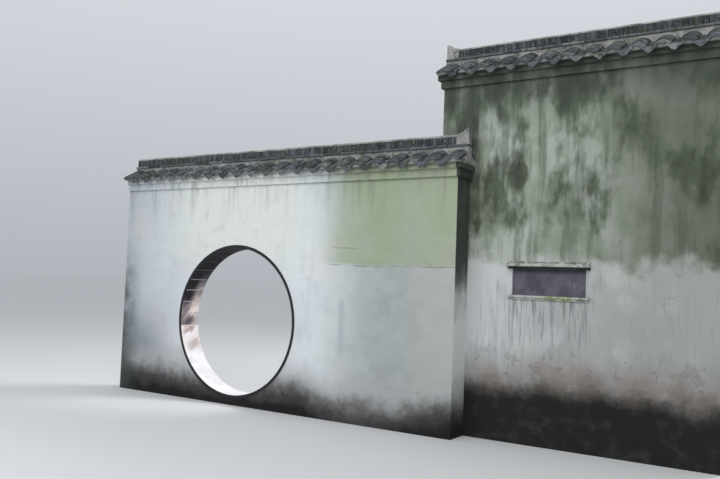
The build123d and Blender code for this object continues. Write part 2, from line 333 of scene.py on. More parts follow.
# A few hair cracks near the joint's right end, one long grey run below its left end, and small
# dark pits all over
hair_cracks = plaster.product(
    plaster.cracks(0.3, 0.003, 0.06),
    plaster.ease(plaster.away_from(crack_x, crack_height), 0.04, 0.1, 1, 0),
)
plaster.coat(shade(96, 99, 96), plaster.product(hair_cracks, 0.8))
single_run = plaster.product(
    plaster.ease(plaster.apart(plaster.x, run_x), 0.07, 0.01),
    plaster.ease(plaster.z, 1.5, 1.36),
    plaster.ease(plaster.z, 0.65, 0.95),
    plaster.ease(run_marks, 0.3, 0.6, 0.3, 1),
)
plaster.coat(shade(150, 157, 163), plaster.product(single_run, 0.6))
plaster.coat(shade(122, 124, 122), plaster.ease(plaster.clouds(0.016, detail=2), 0.7, 0.76, 0, 0.45))

# Mould at the foot, in soft specked patches that climb higher here and there. It stays lower
# between the gate and the free end, where the foot is drier. In and over it the limewash has
# flaked off in small spots.
specks = plaster.clouds(0.016, detail=6, roughness=0.7)
specked = plaster.ease(specks, 0.34, 0.58, 0.82, 1)
patches = plaster.swell(0.34, 0.45, detail=4, shift=(3, 0, 1))
fringe = plaster.swell(0.12, 0.09, detail=5, roughness=0.6)
dry_foot = plaster.product(plaster.ease(plaster.x, 1.0, 1.6), plaster.ease(plaster.x, 3.1, 2.4), 0.13)
over_mould = plaster.maths("SUBTRACT", plaster.z, plaster.maths("ADD", patches, fringe))
mould_level = plaster.maths("ADD", over_mould, dry_foot)
plaster.coat(shade(158, 160, 160), plaster.ease(mould_level, 0.78, 0.4, 0, 0.8))
brown_patches = plaster.ease(plaster.clouds(0.16, detail=5, shift=(1, 4, 0)), 0.46, 0.62)
plaster.coat(
    shade(112, 106, 101),
    plaster.product(plaster.ease(mould_level, 0.52, 0.3, 0, 0.7), brown_patches),
)
plaster.coat(shade(112, 112, 112), plaster.product(plaster.ease(mould_level, 0.5, 0.26, 0, 0.9), specked))
plaster.coat(shade(52, 51, 51), plaster.product(plaster.ease(mould_level, 0.42, 0.18), specked))
plaster.coat(shade(22, 22, 22), plaster.ease(mould_level, 0.2, 0.06, 0, 0.95))
flakes = plaster.product(
    plaster.ease(plaster.clouds(0.08, detail=6, roughness=0.7, shift=(6, 6, 0)), 0.62, 0.635),
    plaster.ease(mould_level, 1.0, 0.5),
    plaster.ease(mould_level, 0.1, 0.3),
)
plaster.coat(shade(148, 146, 141), plaster.product(flakes, 0.6))

# Mould down the left edge, where the wall stays in shade
left_mould = plaster.product(
    plaster.ease(plaster.x, gate_wall_left, gate_wall_left + 0.42, 1, 0),
    plaster.ease(small_clouds, 0.3, 0.6, 0.5, 1),
    plaster.ease(plaster.z, 1.2, 2.4, 0.9, 0.15),
    specked,
)
plaster.coat(shade(58, 66, 62), left_mould)

# The free end gets no sun: it is pale below, and black above the joint's height, partly with mould and
# partly as painted shade
free_end = plaster.ease(plaster.x, gate_wall_right - 0.003, gate_wall_right - 0.001)
end_patches = plaster.maths(
    "ADD", plaster.product(small_clouds, 0.6), plaster.product(run_marks, 0.5)
)
end_level = plaster.maths("SUBTRACT", plaster.z, end_patches)
plaster.coat(shade(216, 219, 217), plaster.product(free_end, plaster.ease(mould_level, 0.4, 0.75, 0, 0.72)))
plaster.coat(shade(38, 43, 36), plaster.product(free_end, plaster.ease(end_level, 0.7, 1.4, 0.06, 0.95)))
end_clouds = plaster.clouds(0.1, detail=6, stretch=(1, 1, 0.5), shift=(5, 1, 3))
end_algae = plaster.ease(end_clouds, 0.46, 0.68, 0, 0.6)
plaster.coat(shade(76, 84, 66), plaster.product(free_end, end_algae, plaster.ease(end_level, 0.9, 1.5)))

# Relief of the plaster: waves of the trowel, clouds, mould specks, brush marks, flakes and cracks
plaster.relief(plaster.clouds(0.45, detail=2, stretch=(1, 1, 1.6)), 0.02)
plaster.relief(small_clouds, 0.004)
plaster.relief(specks, 0.0016)
plaster.relief(plaster.clouds(0.006, detail=3, stretch=(1, 1, 0.15)), 0.0005)
plaster.relief(plaster.rest(flakes), 0.0015)
plaster.relief(plaster.rest(hair_cracks), 0.002)
plaster.relief(plaster.rest(joints_seen), 0.002)
white_plaster = plaster.done()
gate_wall_starts = (
    "gate_wall_left",
    "gate_wall_right",
    "gate_surround",
    "gate_wall_lower",
    "gate_wall_upper",
)
for name in nodes:
    if name.startswith(gate_wall_starts):
        dress(name, white_plaster)

# Ring: wedge-shaped grey bricks, each as deep as the wall, laid on lime mortar round the gate. The
# upper half is painted dark as shade, the lower half is pale, and the rim is painted black.
first_joint = math.radians(7)
joint_step = math.radians(10)
joint_count = round(2 * math.pi / joint_step)
half_depth = abs(ring_front)
paint_reach = 0.006

brick = Finish("ring_brick", shade(224, 222, 224), roughness=0.82)
over_middle = brick.maths("SUBTRACT", brick.z, gate_height)
turn = brick.maths("ARCTAN2", over_middle, brick.x)
bricks_turned = brick.maths("DIVIDE", brick.maths("SUBTRACT", turn, first_joint), joint_step)
bricks_round = brick.maths("FLOORED_MODULO", bricks_turned, joint_count)
brick_chance = brick.add(
    "ShaderNodeTexWhiteNoise", {"noise_dimensions": "1D"}, W=brick.maths("FLOOR", bricks_round)
).outputs["Value"]
smudge = brick.clouds(0.13, detail=5, roughness=0.6)
grime = brick.clouds(0.04, detail=5, roughness=0.65)

# Painted shade lies on the front half down to the middle, and on the back half only near the top,
# where painted light falls through the gate; its edge wanders along slanting lines. The brick at the
# middle is stained over its whole depth.
smear_line = brick.maths("SUBTRACT", over_middle, brick.maths("MULTIPLY", brick.y, 0.9))
smear_place = brick.add(
    "ShaderNodeCombineXYZ",
    X=smear_line,
    Y=brick.maths("MULTIPLY", brick.y, 0.45),
    Z=brick.maths("MULTIPLY", brick.x, 0.5),
)
smears = brick.add(
    "ShaderNodeTexNoise", Vector=smear_place.outputs[0], Scale=13.0, Detail=4.0, Roughness=0.6
).outputs[0]
wander = brick.maths("SUBTRACT", smears, 0.5)
brick_tone = brick.maths("MULTIPLY", brick.maths("SUBTRACT", brick_chance, 0.5), 0.12)
uneven = brick.maths("ADD", brick.maths("MULTIPLY", wander, 0.45), brick_tone)
painted_shade_level = brick.maths("ADD", over_middle, uneven)
painted_shade_depth = brick.maths("ADD", brick.y, brick.maths("MULTIPLY", wander, 0.16))
to_back = brick.ease(painted_shade_depth, -0.4 * half_depth, 0.5 * half_depth)
front_painted_shade = brick.product(brick.ease(painted_shade_level, -0.3, 0.46), brick.rest(to_back))
back_painted_shade = brick.product(brick.ease(painted_shade_level, 0.0, 0.85), to_back)
stained_brick = brick.product(
    brick.ease(over_middle, -0.125, -0.115),
    brick.ease(painted_shade_level, 0.14, 0.02),
    brick.ease(to_back, 0, 1, 0.62, 0.4),
)
painted_shade_and_stain = brick.maths("MAXIMUM", brick.maths("ADD", front_painted_shade, back_painted_shade), stained_brick)
brick.coat(shade(186, 182, 184), brick.ease(brick_chance, 0.3, 1.0, 0, 0.14))
soft_patches = brick.clouds(0.22, detail=2, shift=(1, 5, 2))
brick.coat(shade(204, 200, 202), brick.ease(soft_patches, 0.46, 0.68, 0, 0.7))
# Painted shade, from pale through peach and purple-grey to near black, darker upwards and towards the front
brick.coat(shade(198, 188, 186), brick.ease(painted_shade_level, -0.26, -0.02, 0, 0.9))
brick.coat(
    shade(214, 188, 176),
    brick.product(brick.ease(painted_shade_level, -0.46, -0.2), brick.ease(smears, 0.42, 0.62), 0.6),
)
brick.coat(shade(196, 186, 180), brick.ease(painted_shade_and_stain, 0.05, 0.3))
brick.coat(shade(138, 130, 133), brick.ease(painted_shade_and_stain, 0.28, 0.52))
brick.coat(shade(84, 77, 82), brick.ease(painted_shade_and_stain, 0.48, 0.76))
brick.coat(shade(30, 28, 31), brick.ease(painted_shade_and_stain, 0.7, 0.95))

# Hands have wiped the left jamb in slanting streaks: one clean, one sooty and two brown
wipe_slope = brick.maths("SUBTRACT", over_middle, brick.maths("MULTIPLY", brick.y, 0.4))
wipe_line = brick.maths("ADD", wipe_slope, brick.maths("MULTIPLY", wander, 0.12))


def wipe(height, half_height, middle, half_length):
    """A streak on the left jamb, at a height over the gate's middle and a place in its depth."""
    return brick.product(
        brick.ease(brick.apart(wipe_line, height), half_height, 0.25 * half_height),
        brick.ease(brick.apart(brick.y, middle), half_length, 0.3 * half_length),
        brick.ease(brick.x, -0.6, -0.8),
    )


clean_wipe = wipe(height=0.06, half_height=0.055, middle=0.1, half_length=0.2)
sooty_wipe = wipe(height=-0.06, half_height=0.06, middle=0.0, half_length=0.13)
upper_brown_wipe = wipe(height=-0.165, half_height=0.06, middle=-0.02, half_length=0.16)
lower_brown_wipe = wipe(height=-0.385, half_height=0.09, middle=0.02, half_length=0.17)
brick.coat(shade(236, 220, 214), brick.product(clean_wipe, 0.8))
brick.coat(shade(62, 58, 64), brick.product(sooty_wipe, 0.7))
brick.coat(shade(142, 124, 120), brick.product(upper_brown_wipe, 0.75))
brick.coat(shade(150, 130, 122), brick.product(lower_brown_wipe, 0.6))

# Grime where the shade is painted, the bricks' pores, and a little moss on the tread to the right
grime_in_painted_shade = brick.product(brick.ease(grime, 0.54, 0.68, 0, 0.35), brick.ease(painted_shade_and_stain, 0.3, 0.5))
brick.coat(shade(96, 88, 94), grime_in_painted_shade)
pores = brick.ease(brick.clouds(0.006, detail=3), 0.62, 0.72)
brick.coat(shade(92, 84, 86), brick.product(pores, 0.45))
tread_moss = brick.product(
    brick.ease(over_middle, -0.84, -0.92),
    brick.ease(brick.x, 0.05, 0.3),
    brick.ease(smudge, 0.4, 0.6),
)
brick.coat(shade(176, 174, 150), brick.product(tread_moss, 0.7))

# Lime smeared over the arrises beside the joints, where the painted shade has not covered it. One joint,
# just over the gate's middle, hardly shows.
from_joint = brick.maths("PINGPONG", bricks_round, 0.5)
joint_chance = brick.add(
    "ShaderNodeTexWhiteNoise", {"noise_dimensions": "1D"}, W=brick.maths("ROUND", bricks_round)
).outputs["Value"]
hidden_joint = 0.052
smeared_lime = brick.product(
    brick.ease(from_joint, 0.055, 0.03),
    brick.ease(over_middle, -0.24, -0.16),
    brick.ease(over_middle, 0.75, 0.45, 0.2, 1),
    brick.ease(brick.apart(over_middle, hidden_joint), 0.03, 0.06, 0.1, 1),
    brick.ease(joint_chance, 0.0, 0.4, 0.6, 1),
    brick.ease(grime, 0.35, 0.5, 0.6, 1),
)
brick.coat(shade(176, 167, 174), brick.product(smeared_lime, 0.75))
brick.coat(shade(210, 208, 214), brick.product(smeared_lime, brick.ease(over_middle, 0.0, -0.06), 0.9))
from_wall_middle = brick.maths("ABSOLUTE", brick.y)
rim = brick.ease(from_wall_middle, half_depth - paint_reach, half_depth - paint_reach / 3)
brick.coat(shade(38, 38, 41), rim)
brick.coat(shade(86, 86, 90), brick.product(rim, brick.ease(grime, 0.58, 0.72, 0, 0.6)))
brick.relief(smudge, 0.003)
brick.relief(grime, 0.0012)
brick.relief(brick.rest(pores), 0.0012)
ring_brick = brick.done()
for name in nodes:
    if name.startswith("ring_bricks"):
        dress(name, ring_brick)

# Mortar of the ring: one thin bed of pale lime between each pair of bricks, 36 in all. It is
# struck a little back from the bricks' faces, so that each joint shows as a fine groove, and it
# carries the same painted shade as the bricks beside it, darker upwards.
ring_outer_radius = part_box("ring_bricks_upper_right")[1].z - gate_height
joint_width = 0.0058
joint_height = 0.0375
joint_setback = 0.001
joint_depth = 2 * (half_depth - joint_setback)
rim_gap = 0.0005

lime = Finish("pale_mortar", shade(232, 228, 226), roughness=0.95)
# Painted shade, darker upwards, as on the bricks
lime.coat(shade(186, 178, 184), lime.ease(lime.z, gate_height - 0.06, gate_height + 0.06))
lime.coat(shade(60, 56, 61), lime.ease(lime.z, gate_height + 0.45, gate_height + 0.72))
from_hidden_joint = lime.apart(lime.z, gate_height + hidden_joint)
lime.coat(shade(140, 130, 131), lime.ease(from_hidden_joint, 0.05, 0.03, 0, 0.85))
lime_rim = lime.ease(
    lime.maths("ABSOLUTE", lime.y), half_depth - 2 * paint_reach, half_depth - paint_reach
)
lime.coat(shade(46, 46, 49), lime_rim)
lime.relief(lime.clouds(0.006, detail=3), 0.001)
pale_mortar = lime.done()


def join_as(name, heap, node_names):
    """Join a heap of copies into one piece that rides on the wall and stands for the nodes."""
    bpy.ops.object.select_all(action="DESELECT")
    for copy in heap:
        copy.select_set(True)
    bpy.context.view_layer.objects.active = heap[0]
    if len(heap) > 1:
        bpy.ops.object.join()
    piece = heap[0]
    piece.name = name
    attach(piece, "root")
    if node_names:
        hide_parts(*node_names)


def lay(pattern, place, tone=0.5):
    """Copy a pattern with a mesh of its own, put it in its place and note its own tone."""
    copy = pattern.copy()
    copy.data = pattern.data.copy()
    copy.data.transform(place)
    bpy.context.collection.objects.link(copy)
    tones = copy.data.attributes.new("tone", "FLOAT", "POINT")
    tones.data.foreach_set("value", [tone] * len(copy.data.vertices))
    return copy


def apply_place(piece):
    """Put a piece's place and size into its mesh, so that its object sits at the origin."""
    bpy.ops.object.select_all(action="DESELECT")
    piece.select_set(True)
    bpy.context.view_layer.objects.active = piece
    bpy.ops.object.transform_apply(location=True, rotation=True, scale=True)


def ease_edges(piece, width, segments=1):
    """Round a piece's edges as wear does."""
    worn = piece.modifiers.new("worn_edges", "BEVEL")
    worn.width = width
    worn.segments = segments
    worn.limit_method = "ANGLE"
    bpy.context.view_layer.objects.active = piece
    bpy.ops.object.modifier_apply(modifier=worn.name)


bpy.ops.object.select_all(action="DESELECT")
bpy.ops.mesh.primitive_cube_add(size=1, location=(ring_outer_radius - rim_gap - joint_height / 2, 0, 0))
joint_pattern = bpy.context.object
joint_pattern.scale = (joint_height, joint_depth, joint_width)
apply_place(joint_pattern)
ease_edges(joint_pattern, width=0.001)
joint_pattern.data.materials.append(pale_mortar)
joints = [
    lay(
        joint_pattern,
        Matrix.Translation(gate_middle) @ Matrix.Rotation(-(first_joint + step * joint_step), 4, "Y"),
    )
    for step in range(joint_count)
]
bpy.data.objects.remove(joint_pattern)
join_as("ring_mortar", joints, [])

# Taller wall: older lime plaster on brick, painted lighter beside the gate wall and darker to the right
# as painted light and shade. Its lower part was washed again up to head height, and above that algae
# and mould lie in dark green patches. Its foot is black with mould, below a band where iron in the
# splashed soil has stained it brown.
tall_wall_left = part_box("tall_wall")[0].x
tall_wall_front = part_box("tall_wall")[0].y
tall_wall_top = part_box("tall_wall")[1].z
wash_height = 1.92

aged = Finish("aged_plaster", shade(170, 172, 168), roughness=0.9)
mottle = aged.clouds(0.2, detail=5, roughness=0.55)
long_marks = aged.clouds(0.1, detail=4, stretch=(1, 1, 0.1), shift=(6, 0, 0))
thin_marks = aged.clouds(0.025, detail=4, stretch=(1, 1, 0.08), shift=(1, 0, 0))
aged.coat(shade(155, 158, 157), aged.ease(aged.clouds(0.9, detail=4, shift=(1, 0, 2)), 0.4, 0.62))
aged.coat(shade(182, 184, 184), aged.ease(aged.clouds(0.35, detail=4, shift=(4, 4, 4)), 0.52, 0.7, 0, 0.6))
# Painted light beside the gate wall, and painted shade to the right
aged.coat(shade(196, 200, 201), aged.ease(aged.x, 4.4, 3.3, 0, 0.7))
aged.coat(shade(138, 142, 138), aged.ease(aged.x, 4.4, 5.5, 0, 0.6))
aged.coat(shade(128, 131, 132), aged.ease(thin_marks, 0.52, 0.78, 0, 0.5))
aged.coat(shade(138, 143, 146), aged.ease(long_marks, 0.52, 0.7, 0, 0.5))

# Algae and mould above the washed part, in soft clouds that thicken upwards, with painted shade that
# darkens them to the right and under the coping
wash_edge = aged.swell(0.7, 0.3, detail=3, shift=(0, 1, 5))
over_wash = aged.maths("SUBTRACT", aged.maths("ADD", aged.z, wash_edge), wash_height)
upper = aged.ease(over_wash, -0.06, 0.16)
higher = aged.ease(aged.z, wash_height, tall_wall_top, -0.02, 0.05)
aged.coat(shade(156, 164, 152), aged.product(upper, 0.85))
algae = aged.ease(aged.clouds(0.4, detail=5, stretch=(1, 1, 0.7), shift=(0, 2, 3)), 0.38, 0.66)
aged.coat(shade(114, 124, 105), aged.product(upper, algae, 0.85))
# Painted shade, darker to the right
aged.coat(shade(72, 78, 65), aged.product(upper, aged.ease(aged.x, 4.1, 5.6, 0, 0.75)))
tall_clouds = aged.clouds(0.3, detail=6, roughness=0.58, stretch=(1, 1, 0.5), shift=(2, 0, 7))
cloud = aged.maths("ADD", tall_clouds, higher)
aged.coat(shade(78, 87, 72), aged.product(upper, aged.ease(cloud, 0.44, 0.62), 0.85))
old_specks = aged.clouds(0.016, detail=6, roughness=0.7)
old_specked = aged.ease(old_specks, 0.34, 0.58, 0.65, 1)
dark_cloud = aged.product(
    upper,
    aged.ease(cloud, 0.52, 0.72),
    aged.ease(mottle, 0.3, 0.56, 0.5, 1),
    old_specked,
)
aged.coat(shade(50, 57, 48), dark_cloud)
aged.coat(shade(70, 79, 66), aged.product(aged.ease(long_marks, 0.48, 0.66), upper, 0.5))
# Painted shade, darker towards the top under the coping
aged.coat(shade(52, 60, 52), aged.ease(aged.z, tall_wall_top - 0.6, tall_wall_top + 0.1, 0, 0.7))
cracked = aged.ease(aged.clouds(0.7, shift=(5, 2, 8)), 0.58, 0.68)
old_cracks = aged.product(aged.cracks(0.8, 0.003, 0.3), cracked)
aged.coat(shade(100, 102, 102), aged.product(old_cracks, 0.3))

# Dark runs from the tablet's sill
tablet_low, tablet_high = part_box("tablet")
under_tablet = aged.product(
    aged.ease(aged.x, tablet_low.x - 0.1, tablet_low.x + 0.05),
    aged.ease(aged.x, tablet_high.x + 0.1, tablet_high.x - 0.05),
    aged.ease(aged.z, tablet_low.z - 0.75, tablet_low.z - 0.1),
    aged.ease(aged.z, tablet_low.z, tablet_low.z - 0.03),
    aged.ease(aged.y, tall_wall_front + 0.1, tall_wall_front + 0.05),
)
aged.coat(shade(106, 109, 110), aged.product(under_tablet, aged.ease(thin_marks, 0.46, 0.66), 0.7))

# The mould, the brown stain, the peeled spots and the lichen at the taller wall's foot
foot_patches = aged.swell(0.36, 0.45, detail=4, shift=(7, 0, 2))
foot_fringe = aged.swell(0.14, 0.08, detail=5, roughness=0.6)
foot_level = aged.maths("SUBTRACT", aged.z, aged.maths("ADD", foot_patches, foot_fringe))
aged.coat(shade(134, 131, 129), aged.ease(foot_level, 1.15, 0.75, 0, 0.75))
stain = aged.ease(aged.clouds(0.3, detail=5, shift=(8, 1, 0)), 0.4, 0.62)
aged.coat(shade(122, 107, 99), aged.product(stain, aged.ease(foot_level, 1.0, 0.72, 0, 0.6)))
peeled = aged.product(
    aged.ease(aged.clouds(0.14, detail=6, roughness=0.65, shift=(3, 3, 0)), 0.58, 0.6),
    aged.ease(foot_level, 1.15, 0.9),
    aged.ease(foot_level, 0.6, 0.72),
)
aged.coat(shade(124, 117, 109), aged.product(peeled, 0.4))
aged.coat(shade(86, 81, 76), aged.product(aged.ease(foot_level, 0.77, 0.58, 0, 0.9), old_specked))
aged.coat(shade(22, 24, 22), aged.ease(foot_level, 0.68, 0.46, 0, 0.97))
foot_lichen = aged.ease(aged.clouds(0.14, detail=6, roughness=0.6, shift=(2, 8, 1)), 0.48, 0.7, 0, 0.4)
aged.coat(shade(60, 64, 56), aged.product(foot_lichen, aged.ease(foot_level, 0.6, 0.4)))
aged.relief(aged.clouds(0.5, detail=2), 0.02)
aged.relief(mottle, 0.006)
aged.relief(old_specks, 0.0025)
aged.relief(aged.rest(peeled), 0.003)
aged.relief(aged.rest(old_cracks), 0.003)
aged_plaster = aged.done()
for name in ("tall_wall", "tall_wall_lower_corbel", "tall_wall_upper_corbel"):
    dress(name, aged_plaster)

# Tablet: a bare slab of rubbed grey brick set in the taller wall, dulled to purple by soot. Its
# hood and sill are brick courses under plaster, with moss on the hood's top and on the sill.
slab = Finish("tablet_stone", shade(94, 91, 101), roughness=0.78)
slab.coat(shade(72, 70, 78), slab.ease(slab.clouds(0.2, detail=5), 0.42, 0.66))
slab_runs = slab.clouds(0.05, detail=4, stretch=(1, 1, 0.12))
slab.coat(shade(112, 110, 118), slab.ease(slab_runs, 0.55, 0.7, 0, 0.4))
# Painted shadow of the hood across the slab's top
slab.coat(shade(44, 44, 48), slab.ease(slab.z, tablet_high.z - 0.07, tablet_high.z, 0, 0.7))
slab.coat(shade(58, 64, 56), slab.ease(slab.clouds(0.03, detail=5, shift=(2, 0, 0)), 0.58, 0.72, 0, 0.6))
slab.relief(slab.clouds(0.08, detail=4), 0.003)
slab.relief(slab.clouds(0.008, detail=3), 0.0008)
dress("tablet", slab.done())

# The hood's lower fillet is painted black as shade
hood_low, hood_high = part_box("tablet_hood")
moulding = Finish("moulding_plaster", shade(170, 173, 168), roughness=0.9)
moulding.coat(shade(128, 132, 126), moulding.ease(moulding.clouds(0.12, detail=5), 0.42, 0.64))
dark_spots = moulding.clouds(0.05, detail=5, shift=(3, 0, 0))
moulding.coat(shade(70, 74, 68), moulding.ease(dark_spots, 0.52, 0.7, 0, 0.8))
fillet_painted_shade = moulding.ease(moulding.z, hood_low.z + 0.032, hood_low.z + 0.026)
on_hood = moulding.ease(moulding.z, hood_low.z - 0.01, hood_low.z)
moulding.coat(shade(40, 43, 41), moulding.product(fillet_painted_shade, on_hood, 0.9))
moss = moulding.ease(moulding.clouds(0.04, detail=5, shift=(1, 1, 0)), 0.42, 0.58)
top_moss = moulding.product(moulding.ease(moulding.z, hood_low.z + 0.05, hood_high.z), moss)
moulding.coat(shade(58, 66, 44), top_moss)
sill_moss = moulding.ease(moulding.away_from(tablet_high.x - 0.25, tablet_low.z), 0.28, 0.12)
moulding.coat(shade(126, 134, 62), moulding.product(sill_moss, moss, 0.8))
moulding.relief(moulding.clouds(0.03, detail=5), 0.004)
moulding_plaster = moulding.done()
dress("tablet_hood", moulding_plaster)
dress("tablet_sill", moulding_plaster)

# Coping core, ridge bed, ridge cap and ridge ends: brick bats in lime and clay mortar, struck
# smooth and weathered grey, with moss in the hollows.
mortar = Finish("coping_mortar", shade(150, 150, 146), roughness=0.95)
dark_clouds = mortar.clouds(0.07, detail=6, roughness=0.65)
moss_clouds = mortar.clouds(0.14, detail=6, shift=(5, 5, 0))
mortar.coat(shade(112, 114, 110), mortar.ease(mortar.clouds(0.25, detail=5), 0.4, 0.64))
mortar.coat(shade(66, 68, 64), mortar.ease(dark_clouds, 0.5, 0.68, 0, 0.85))
mortar.coat(shade(74, 84, 52), mortar.ease(moss_clouds, 0.56, 0.66, 0, 0.7))
mortar_cracks = mortar.product(mortar.cracks(0.5, 0.002, 0.2), mortar.ease(mortar.clouds(0.4), 0.52, 0.62))
mortar.coat(shade(70, 71, 69), mortar.product(mortar_cracks, 0.6))
mortar.relief(mortar.clouds(0.04, detail=5), 0.008)
mortar.relief(mortar.clouds(0.006, detail=3), 0.0015)
mortar.relief(mortar.rest(mortar_cracks), 0.002)
coping_mortar = mortar.done()
for wall in ("gate_wall", "tall_wall"):
    for part in ("coping_core", "ridge_bed", "ridge_cap", "ridge_end"):
        dress(f"{wall}_{part}", coping_mortar)

# Roof tiles: small curved tiles of grey fired clay. Pan tiles lie hollow side up and lap each
# other towards the eave, and cover tiles bridge the pans. At the eave each pan ends in a drip
# tile with a pointed tongue, and each cover in an edge tile with a turned-down lip.
roof_pitch = math.radians(28)
eave_overhang = 0.07
tile_thickness = 0.009
tile_length = 0.095
usual_exposure = 0.07
pan_radius = 0.200
pan_half_width = 0.100
pan_half_angle = math.asin(pan_half_width / pan_radius)
cover_width = 0.170
cover_radius = 0.115
cover_half_angle = math.asin(cover_width / 2 / cover_radius)
cover_inner_radius = cover_radius - tile_thickness
cover_foot = cover_inner_radius * math.sin(cover_half_angle)
cover_centre_drop = cover_inner_radius * math.cos(cover_half_angle)
tile_spacing = 0.245
tile_steps = 8
eave_setback = 0.012
ridge_tuck = 0.020
end_inset = 0.004
bedding = 0.004
hair_gap = 0.0005
wall_clearance = 0.1
tongue_drop = 0.062
lip_drop = 0.024
side_shift = 0.0015
slope_shift = 0.003
turn_degrees = 1.2
chance_of = random.Random(11)

tile = Finish("grey_tile", shade(84, 88, 94), roughness=0.78)
tone = tile.add("ShaderNodeAttribute", {"attribute_name": "tone"}).outputs["Fac"]
tile.coat(shade(52, 54, 58), tile.ease(tone, 0.35, 0.0))
tile.coat(shade(122, 124, 124), tile.ease(tone, 0.7, 1.0, 0, 0.8))
tile_soot = tile.clouds(0.06, detail=5, roughness=0.6)
tile_lichen = tile.clouds(0.022, detail=4, shift=(0, 3, 0))
tile.coat(shade(44, 46, 46), tile.ease(tile_soot, 0.46, 0.66, 0, 0.85))
tile.coat(shade(134, 140, 130), tile.ease(tile_lichen, 0.6, 0.68, 0, 0.7))
moss_patches = tile.product(
    tile.ease(tile.clouds(0.5, detail=3, shift=(7, 0, 0)), 0.46, 0.6),
    tile.ease(tile.clouds(0.035, detail=6, roughness=0.65), 0.5, 0.62),
)
tile.coat(shade(64, 76, 38), tile.product(moss_patches, 0.85))
tile.relief(tile.clouds(0.03, detail=4), 0.003)
tile.relief(tile.clouds(0.004, detail=2), 0.0006)
grey_tile = tile.done()


def pick(piece, kind, is_wanted):
    """In edit mode, select only the piece's corners, edges or faces that are wanted."""
    bpy.ops.mesh.select_mode(type={"verts": "VERT", "edges": "EDGE", "faces": "FACE"}[kind])
    bpy.ops.mesh.select_all(action="DESELECT")
    shape = bmesh.from_edit_mesh(piece.data)
    for element in getattr(shape, kind):
        if is_wanted(element):
            element.select_set(True)
    bmesh.update_edit_mesh(piece.data)


def at_lower_end(edge):
    """Whether an edge lies along a tile's lower end, at Y = 0."""
    return all(abs(corner.co.y) < 0.0005 for corner in edge.verts)


def spin_tile(name, radius, half_angle, centre_height, length, top_side):
    """A curved sheet whose lower end is at Y = 0: one long edge, spun about the tile's axis."""
    side = 1 if top_side else -1
    start = Vector(
        (-radius * math.sin(half_angle), 0, centre_height + side * radius * math.cos(half_angle))
    )
    plane_half_size = 0.5
    bpy.ops.object.select_all(action="DESELECT")
    bpy.ops.mesh.primitive_plane_add(size=2 * plane_half_size)
    piece = bpy.context.object
    piece.name = name
    bpy.ops.object.mode_set(mode="EDIT")
    pick(piece, "verts", lambda corner: corner.co.x > 0)
    bpy.ops.mesh.delete(type="VERT")
    bpy.ops.mesh.select_all(action="SELECT")
    bpy.ops.transform.resize(value=(1, length, 1))
    bpy.ops.transform.translate(value=(start.x + plane_half_size, length / 2, start.z))
    bpy.ops.mesh.spin(
        steps=tile_steps,
        angle=-side * 2 * half_angle,
        center=(0, 0, centre_height),
        axis=(0, 1, 0),
    )
    bpy.ops.mesh.select_all(action="SELECT")
    bpy.ops.mesh.remove_doubles(threshold=0.0001)
    bpy.ops.mesh.normals_make_consistent(inside=False)
    bpy.ops.object.mode_set(mode="OBJECT")
    return piece


def fire_tile(piece, thickness, material):
    """Give a sheet its thickness, smooth its curve and finish it."""
    body = piece.modifiers.new("thickness", "SOLIDIFY")
    body.thickness = thickness
    body.offset = 0
    bpy.context.view_layer.objects.active = piece
    bpy.ops.object.modifier_apply(modifier=body.name)
    bpy.ops.object.select_all(action="DESELECT")
    piece.select_set(True)
    bpy.ops.object.shade_smooth_by_angle(angle=math.radians(40))
    piece.data.materials.append(material)


pan_middle_radius = pan_radius - tile_thickness / 2
cover_middle_radius = cover_radius - tile_thickness / 2
pan_pattern = spin_tile("pan_tile", pan_middle_radius, pan_half_angle, pan_radius, tile_length, False)
drip_pattern = spin_tile("drip_tile", pan_middle_radius, pan_half_angle, pan_radius, tile_length, False)
cover_pattern = spin_tile(
    "cover_tile", cover_middle_radius, cover_half_angle, -cover_centre_drop, tile_length, True
)
edge_pattern = spin_tile(
    "edge_tile", cover_middle_radius, cover_half_angle, -cover_centre_drop, tile_length, True
)

# The tongue of the drip tile hangs from its lower end, round at its shoulders and pointed in the
# middle
bpy.ops.object.select_all(action="DESELECT")
bpy.context.view_layer.objects.active = drip_pattern
drip_pattern.select_set(True)
bpy.ops.object.mode_set(mode="EDIT")
pick(drip_pattern, "edges", at_lower_end)
tongue_rows = 3
tongue_half_width = pan_radius * math.sin(pan_half_angle)
for row in range(tongue_rows):
    bpy.ops.mesh.extrude_region_move(TRANSFORM_OT_translate={"value": (0, 0, 0)})
    shape = bmesh.from_edit_mesh(drip_pattern.data)
    for corner in shape.verts:
        if corner.select:
            across = min(1.0, abs(corner.co.x) / tongue_half_width)
            round_part = 0.8 * math.cos(across * math.pi / 2) ** 1.3
            pointed_part = 0.2 * (1 - across) ** 3
            drop = tongue_drop * (round_part + pointed_part)
            corner.co.z -= drop / tongue_rows * math.cos(roof_pitch)
            corner.co.y -= drop / tongue_rows * math.sin(roof_pitch)
    bmesh.update_edit_mesh(drip_pattern.data)
bpy.ops.mesh.select_all(action="SELECT")
bpy.ops.mesh.remove_doubles(threshold=0.0001)
bpy.ops.mesh.normals_make_consistent(inside=False)
bpy.ops.object.mode_set(mode="OBJECT")

